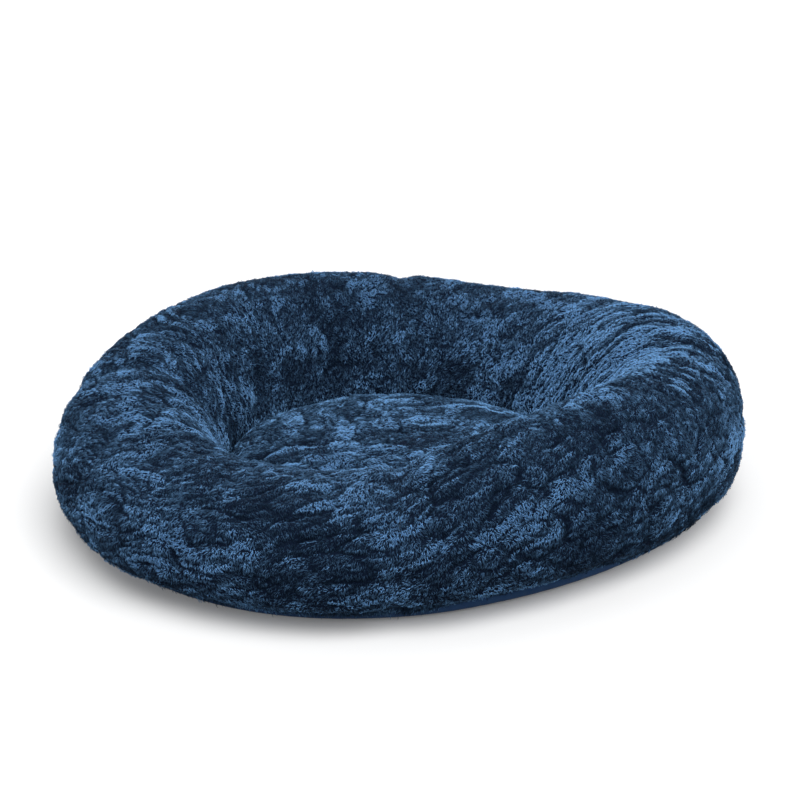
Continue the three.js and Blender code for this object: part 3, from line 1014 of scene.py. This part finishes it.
# %% The base's sizes
cushion_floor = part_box("cushion_bottom_cover")[0].z
base_top = cushion_floor - sewn_gap
base_rim_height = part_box("base_panel")[1].z
base_seam_height = station_lines[:, 0, 1].mean()
base_edge_run = 0.04
base_steps = 1080
base_turns = np.linspace(0, 2 * math.pi, base_steps, endpoint=False)
outward = np.c_[np.cos(base_turns), np.sin(base_turns)]
rim = skin_lines(base_turns, np.array([0.0]))[:, 0, 0] - sewn_gap
print("base rim radius", round(float(rim.min()), 3), "to", round(float(rim.max()), 3))

# %% Its flat part, from the slot to the edge
slot_length = 0.5
slot_width = 0.032
slot_squareness = 16
flat_steps = 30


def squared(value):
    """Turns a circle's sine or cosine into that of a nearly square slot."""
    return np.sign(value) * np.abs(value) ** (2 / slot_squareness)


slot_x = slot_length / 2 * squared(np.cos(base_turns))
slot_y = slot_width / 2 * squared(np.sin(base_turns))
slot_edge = np.stack([slot_x, slot_y], -1)
flat_edge = (rim - base_edge_run)[:, None] * outward
flat_shares = np.linspace(0, 1, flat_steps)
flat_grown = flat_shares[None, :, None]
flat = slot_edge[:, None] * (1 - flat_grown) + flat_edge[:, None] * flat_grown
print("slot", slot_length, "by", slot_width)

# %% Its edge, turned up and gathered
edge_steps = 16
gather_size = 0.013
gather_height = 0.0016
gather_band = (0.25, 1.0)
edge_shares = np.linspace(0, 1, edge_steps)[1:]
edge_turn = edge_shares * math.pi / 2
gather_noise = noise(np.c_[outward, 0 * base_turns] * rim[:, None], gather_size, 5)
gather = gather_height * gather_noise[:, None] * step_up(edge_shares, *gather_band)[None, :]
edge_radius = (rim - base_edge_run)[:, None] + base_edge_run * np.sin(edge_turn) + gather
edge_height = base_seam_height * (1 - np.cos(edge_turn))
print("gathered folds stand", round(float(np.abs(gather).max()), 4))

# %% Both skins of the base
under_xy = np.concatenate([flat, edge_radius[..., None] * outward[:, None]], axis=1)
under_z = np.concatenate([np.zeros(len(flat_shares)), edge_height])
under = np.dstack([under_xy + well_centre, np.broadcast_to(under_z, under_xy.shape[:2])])
inner_radius = rim[:, None] - base_edge_run * (1 - edge_shares)
lining_xy = np.concatenate([flat, inner_radius[..., None] * outward[:, None]], axis=1)
lining_z = np.concatenate(
    [np.full(len(flat_shares), base_top), base_top + (base_rim_height - base_top) * edge_shares]
)
lining = np.dstack([lining_xy + well_centre, np.broadcast_to(lining_z, lining_xy.shape[:2])])
base = shell("base", under, lining, base_cloth, round_turn=True)
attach(base, "bed")
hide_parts("base_panel")
print("base faces", len(base.data.polygons))

# %% [markdown]
# Inside the ring: the liner bag and its filling
#
# Neither shows while the cover is on, so both are plain but true: the liner follows the cover a little
# way in, with the slit where it was stuffed, and the filling is a lumpy ring of fibre inside it. A copy
# of the cover, scaled down, would leave gaps of uneven width. So both are the skin moved inwards by
# one depth, and closed along the base.

# %% Lines of a bag inside the cover
bag_steps = 360
bag_skin_steps = 60
bag_under_steps = 24
liner_ease = 0.002
liner_thickness = 0.0015
liner_depth = cover_thickness + liner_ease + sewn_gap
bag_turns = np.linspace(0, 2 * math.pi, bag_steps, endpoint=False)
print("bag lines", bag_steps, "liner lies", round(liner_depth, 4), "deep")


def bag_lines(depth, floor, turns):
    """Section lines of a bag inside the cover: the skin moved inwards, closed along the base."""
    reaches = np.linspace(0, section_length, bag_skin_steps)
    lines = inset(skin_lines(turns, reaches), np.full((len(turns), bag_skin_steps), depth))
    lines[..., 1] = np.maximum(lines[..., 1], floor)
    seam = skin_lines(turns, np.array([0.0]))[:, 0, 0]
    shares = np.linspace(0, 1, bag_under_steps)[1:]
    start = lines[:, -1, 0][:, None]
    under_radius = start + (seam[:, None] - base_edge_run - start) * shares
    under_line = np.stack([under_radius, np.full_like(under_radius, floor)], -1)
    return np.concatenate([lines, under_line], axis=1)


# %% The liner, with its slit
# The slit is two cells wide on the bag's underside, and each of its cells is a degree long
slit_long = slice(78, 102)
slit_wide = slice(70, 72)
liner_floor = base_top + sewn_gap
liner_out = bag_lines(liner_depth, liner_floor, bag_turns)
liner_in = bag_lines(liner_depth + liner_thickness, liner_floor + liner_thickness, bag_turns)
liner_kept = np.ones(liner_out.shape[:2], bool)
liner_kept[slit_long, slit_wide] = False
liner = shell(
    "liner_bag", round_ring(liner_out, bag_turns), round_ring(liner_in, bag_turns), liner_cloth,
    round_turn=True, round_section=True, kept=liner_kept,
)
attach(liner, "bed")
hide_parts("ring_liner")
print("liner bag faces", len(liner.data.polygons))

# %% The filling
fill_ease = 0.0023
fill_floor_ease = 0.0026
lump_depth = 0.004
lump_size = 0.045
fill_lines = bag_lines(liner_depth + fill_ease, base_top + fill_floor_ease, bag_turns)
fill_skin = round_ring(fill_lines, bag_turns)
fill_centre = fill_skin.mean(axis=1, keepdims=True)
sunk = lump_depth + lump_depth * noise(fill_skin, lump_size, 11)
fill_skin = fill_skin + unit(fill_centre - fill_skin) * sunk[..., None]
fill_cells = grid_cells(*fill_skin.shape[:2], round_turn=True, round_section=True)
fill_counts = np.full(fill_cells.size // cell_corners, cell_corners)
fill = new_piece("ring_wadding", fill_skin.reshape(-1, 3), fill_cells.ravel(), fill_counts, wadding)
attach(fill, "bed")
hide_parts("ring_fill")
print("filling faces", len(fill.data.polygons))

# %% [markdown]
# The loose cushion
#
# The cushion is a round pillow: a crowned plush top sewn to a cloth underside, over a filling of its
# own. A disc of rings and spokes would be pinched at its centre, so a square grid is squeezed into a
# disc instead. That keeps the mesh even, and the same pile grows on it as on the ring.

# %% A disc grid and its profiles
cushion_radius = (cushion_high.x - cushion_low.x) / 2
cushion_seam = cushion_low.z
cushion_crown = cushion_high.z - cushion_seam
cushion_roundness = 2.5
cushion_corner = 0.16 * cushion_radius
flat_share = 0.75
least_share = 1e-9
print("cushion radius", round(cushion_radius, 3), "crown", round(cushion_crown, 3))


def disc(steps):
    """A square grid squeezed into a disc: each point's direction and its share of the radius."""
    line = np.linspace(-1, 1, steps)
    x, y = np.meshgrid(line, line, indexing="ij")
    places = np.stack([x * np.sqrt(1 - y * y / 2), y * np.sqrt(1 - x * x / 2)], -1)
    share = np.clip(np.hypot(places[..., 0], places[..., 1]), least_share, 1)
    return places / share[..., None], share


def crowned(steps, depth):
    """The crowned top of the cushion, moved inwards by a depth."""
    way, share = disc(steps)
    radius = (cushion_radius - depth) * np.sin(share * math.pi / 2) ** (2 / cushion_roundness)
    crown = (cushion_crown - depth) * np.abs(np.cos(share * math.pi / 2)) ** (2 / cushion_roundness)
    return np.dstack([way * radius[..., None] + well_centre, cushion_seam + crown])


def dished(steps, depth):
    """The flat underside of the cushion with its turned-up edge, moved inwards by a depth."""
    way, share = disc(steps)
    turn = np.clip((share - flat_share) / (1 - flat_share), 0, 1) * math.pi / 2
    middle = cushion_radius - cushion_corner - depth
    radius = middle * np.minimum(share / flat_share, 1) + cushion_corner * np.sin(turn)
    top = cushion_seam - sewn_gap
    height = cushion_floor + depth + (top - cushion_floor - depth) * (1 - np.cos(turn))
    return np.dstack([way * radius[..., None] + well_centre, height])


# %% The relief of the cushion's top
cushion_pattern = 500
cushion_steps = 150
cushion_rim_band = (0.93, 1.0)
cushion_calm = 0.7
cushion_swell = 0.003
cushion_swell_size = 0.1
turning_size = 0.15
turning_band = (-0.2, 0.2)
rim_pile_share = 0.3
cushion_depths = (0.0005, 0.0108)
top_skin = crowned(cushion_steps, 0.0)
outwards = directions(top_skin)[2]
centre_share = np.hypot(*(top_skin[..., :2] - well_centre).transpose(2, 0, 1)) / cushion_radius
cushion_fade = 1 - step_up(centre_share, *cushion_rim_band)
turning = step_up(noise(top_skin, turning_size, 60), *turning_band)
cushion_places = np.dstack([top_skin[..., :2], turning, 0 * turning, 0 * turning])
swell = cushion_swell * noise(top_skin, cushion_swell_size, 62)
cushion_relief = cushion_calm * crushed(cushion_places, cushion_pattern)[0] + swell
cushion_relief = cushion_relief * cushion_fade
cushion_pile = pile_height * (rim_pile_share + (1 - rim_pile_share) * cushion_fade)
cushion_depth = np.clip(cushion_pile - cushion_relief, *cushion_depths)
print("cushion relief", round(float(cushion_relief.min()), 4), round(float(cushion_relief.max()), 4))

# %% The cushion's top and its pile
cushion_nap_turns = [(2.0, 0.085), (1.0, 0.033)]
cushion_outside = top_skin - cushion_depth[..., None] * outwards
cushion_cover = shell("cushion_top", cushion_outside, crowned(cushion_steps, cover_thickness), backing)
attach(cushion_cover, "cushion")
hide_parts("cushion_top_cover")
cushion_nap = 0
for step, (strength, size) in enumerate(cushion_nap_turns):
    cushion_nap = cushion_nap + strength * noise(top_skin, size, 63 + step)
dress(
    "cushion_pile", cushion_outside, cushion_relief, cushion_nap, cushion_places, cushion_pattern,
    0 * turning, cushion_pattern + 1, "cushion",
)

# %% The cushion's underside
under_thickness = 0.002
under_out = dished(cushion_steps, 0.0)[::-1]
under_in = dished(cushion_steps, under_thickness)[::-1]
cushion_under = shell("cushion_bottom", under_out, under_in, base_cloth)
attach(cushion_under, "cushion")
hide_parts("cushion_bottom_cover")
print("cushion underside faces", len(cushion_under.data.polygons))

# %% The cushion's filling
pad_steps = 90
pad_ease = 0.002
pad_floor_ease = 0.0035
pad_lump = 0.002
pad_lump_size = 0.05
pad_top = crowned(pad_steps, cover_thickness + pad_ease)
pad_top[..., 2] += pad_lump * noise(pad_top, pad_lump_size, 67) - pad_lump
pad_under = dished(pad_steps, pad_floor_ease)
pad_share = (cushion_radius - cover_thickness - pad_ease) / (cushion_radius - pad_floor_ease)
pad_under[..., :2] = well_centre + pad_share * (pad_under[..., :2] - well_centre)
pad = shell("cushion_wadding", pad_top, pad_under, wadding)
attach(pad, "cushion")
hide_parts("cushion_fill")
print("cushion filling faces", len(pad.data.polygons))

# %% [markdown]
# The zip under the base
#
# A nylon coil zip closes the base. Its tapes lie in the slot, each with a row of coil turns along its
# inner edge, a stop at each end, and a metal slider with a pull tab. Each turn of the coil is a small
# rounded loop, made once and repeated at the coil's pitch. The stops, the slider and the tab keep the
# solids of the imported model, because their true shape is already there.

# %% Copies of one small shape
def joined_copies(name, points, faces, moves, finish):
    """One piece that holds a copy of a shape at each move."""
    count = len(moves)
    size = len(points)
    placed = points[None] + np.asarray(moves)[:, None]
    corners = np.concatenate([np.asarray(face) for face in faces])
    counts = np.tile([len(face) for face in faces], count)
    all_corners = (np.arange(count)[:, None] * size + corners).ravel()
    return new_piece(name, placed.reshape(-1, 3), all_corners, counts, finish)


# %% One turn of the coil
def loop_section(width, height, thickness, steps):
    """A flattened ring of wire in the Y and Z plane: points and faces of one closed turn."""
    turns = np.linspace(0, 2 * math.pi, steps, endpoint=False)
    middle = np.stack([0 * turns, width / 2 * np.cos(turns), height / 2 * np.sin(turns)], -1)
    outward = unit(middle)
    endways = np.array([1, 0, 0])
    points = []
    faces = []
    sides = 4
    for side in range(sides):
        swing = side * 2 * math.pi / sides
        spoke = math.cos(swing) * outward + math.sin(swing) * endways
        points.append(middle + thickness / 2 * spoke)
    points = np.stack(points, 1).reshape(-1, 3)
    for step in range(steps):
        for side in range(sides):
            here = step * sides
            after = ((step + 1) % steps) * sides
            side_after = (side + 1) % sides
            faces.append([here + side, after + side, after + side_after, here + side_after])
    return points, faces


# %% A tape
tape_steps = (250, 9)
tape_trim = 0.0001
tape_wave = 0.00012
tape_wave_size = 0.012


def zip_tape(side):
    low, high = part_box(f"zip_tape_{side}")
    x = np.linspace(low.x, high.x, tape_steps[0])
    y = np.linspace(low.y, high.y, tape_steps[1])
    grid_x, grid_y = np.meshgrid(x, y, indexing="ij")
    wave = tape_wave * noise(np.dstack([grid_x, grid_y, 0 * grid_x]), tape_wave_size, 71)
    top = np.dstack([grid_x, grid_y, high.z - tape_trim + wave])
    bottom = np.dstack([grid_x, grid_y, low.z + tape_trim + wave])
    tape = shell(f"tape_{side}", top, bottom, tape_cloth)
    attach(tape, "bed")
    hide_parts(f"zip_tape_{side}")
    print(side, "tape is", round(high.x - low.x, 3), "long")


# %% A coil
coil_wire = 0.0006
coil_pitch = 0.0012
coil_steps = 10


def zip_coil(side):
    low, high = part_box(f"zip_teeth_{side}")
    width = high.y - low.y - coil_wire
    height = high.z - low.z - coil_wire
    turn_points, turn_faces = loop_section(width, height, coil_wire, coil_steps)
    count = int((high.x - low.x - coil_wire) / coil_pitch)
    moves = np.zeros((count, 3))
    moves[:, 0] = low.x + coil_wire / 2 + coil_pitch / 2 + np.arange(count) * coil_pitch
    moves[:, 1:] = [(low.y + high.y) / 2, (low.z + high.z) / 2]
    coil = joined_copies(f"coil_{side}", turn_points, turn_faces, moves, nylon)
    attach(coil, "bed")
    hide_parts(f"zip_teeth_{side}")
    print(side, "coil turns", count)


# %% Both rows of the zip
for side in ("front", "back"):
    zip_tape(side)
    zip_coil(side)

# %% The metal pieces keep their solids, with softened edges
edge_softness = 0.0001
for name in ("zip_stop_closed_end", "zip_stop_open_end", "zip_slider", "zip_pull_tab"):
    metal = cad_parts[name]
    metal.data.materials.clear()
    metal.data.materials.append(zip_metal)
    softened = metal.modifiers.new("softened edges", "BEVEL")
    softened.width = edge_softness
    softened.segments = 2
    softened.limit_method = "ANGLE"
print("metal pieces", zip_metal.name)

# %% [markdown]
# The floor and the light
#
# The bed stands on a plain white floor that runs to the horizon. Three broad suns light it: the main
# one from the front right, a fill from the left and a weaker one from behind. A sun lights the whole
# floor alike, and a broad one gives a soft shadow. The white world fills in the rest. To the camera
# the floor is brighter than to the bed, and glows a little, so it stays white and its shadow pale
# while not much of its light goes up under the ring.

# %% Which rays show a thing
def seen_by(tree, kinds):
    """A socket that gives 1 to rays of these kinds of the Light Path node, and 0 to all others."""
    path = tree.nodes.new("ShaderNodeLightPath")
    seen = path.outputs[kinds[0]]
    for kind in kinds[1:]:
        either = tree.nodes.new("ShaderNodeMath")
        either.operation = "MAXIMUM"
        tree.links.new(seen, either.inputs[0])
        tree.links.new(path.outputs[kind], either.inputs[1])
        seen = either.outputs[0]
    return seen


# %% The floor
floor_reach = 60.0
floor_white = 0.4
camera_white = 0.78
floor_glow = 0.1
floor_mesh = bpy.data.meshes.new("floor")
floor_corners = [(x * floor_reach, y * floor_reach, 0) for x, y in ((-1, -1), (1, -1), (1, 1), (-1, 1))]
floor_mesh.from_pydata(floor_corners, [], [(0, 1, 2, 3)])
floor = bpy.data.objects.new("floor", floor_mesh)
bpy.context.scene.collection.objects.link(floor)
floor_finish = bpy.data.materials.new("white floor")
floor_finish.use_nodes = True
tree = floor_finish.node_tree
tree.nodes.clear()
paint = add_node(tree, "ShaderNodeBsdfDiffuse", Color=(floor_white,) * 3 + (1,))
camera_paint = add_node(tree, "ShaderNodeBsdfDiffuse", Color=(camera_white,) * 3 + (1,))
glow = add_node(tree, "ShaderNodeEmission", Color=(floor_glow,) * 3 + (1,), Strength=1.0)
seen_floor = tree.nodes.new("ShaderNodeAddShader")
chosen = tree.nodes.new("ShaderNodeMixShader")
output = tree.nodes.new("ShaderNodeOutputMaterial")
tree.links.new(seen_by(tree, ["Is Camera Ray", "Is Glossy Ray"]), chosen.inputs[0])
tree.links.new(camera_paint.outputs[0], seen_floor.inputs[0])
tree.links.new(glow.outputs[0], seen_floor.inputs[1])
tree.links.new(paint.outputs[0], chosen.inputs[1])
tree.links.new(seen_floor.outputs[0], chosen.inputs[2])
tree.links.new(chosen.outputs[0], output.inputs["Surface"])
floor_mesh.materials.append(floor_finish)
print("floor reaches", floor_reach, "m each way")

# %% The world
world = bpy.data.worlds.new("white world")
bpy.context.scene.world = world
world.use_nodes = True
tree = world.node_tree
tree.nodes.clear()
fill_light = add_node(tree, "ShaderNodeBackground", Color=(0.95, 0.97, 1, 1), Strength=0.24)
white_back = add_node(tree, "ShaderNodeBackground", Color=(1, 1, 1, 1), Strength=1.0)
chosen = tree.nodes.new("ShaderNodeMixShader")
output = tree.nodes.new("ShaderNodeOutputWorld")
showing = seen_by(tree, ["Is Camera Ray", "Is Glossy Ray", "Is Transmission Ray"])
tree.links.new(showing, chosen.inputs[0])
tree.links.new(fill_light.outputs[0], chosen.inputs[1])
tree.links.new(white_back.outputs[0], chosen.inputs[2])
tree.links.new(chosen.outputs[0], output.inputs["Surface"])
print("world", world.name)

# %% The lights
# Each light: its name, its strength, its spread in degrees and the way that it comes from
lights = [
    ("broad sun", 2.8, 60, (0.35, -0.5, 1.0)),
    ("side fill", 1.0, 90, (-0.85, -0.45, 1.1)),
    ("back light", 0.7, 60, (0.3, 1.0, 0.8)),
]
for name, energy, spread, come_from in lights:
    sun_data = bpy.data.lights.new(name, "SUN")
    sun_data.energy = energy
    sun_data.angle = math.radians(spread)
    sun = bpy.data.objects.new(name, sun_data)
    sun.rotation_euler = Vector(come_from).to_track_quat("Z", "Y").to_euler()
    bpy.context.scene.collection.objects.link(sun)
    print("light", name, energy)

# %% [markdown]
# Finish

# %% The view transform
bpy.context.scene.view_settings.view_transform = "Standard"
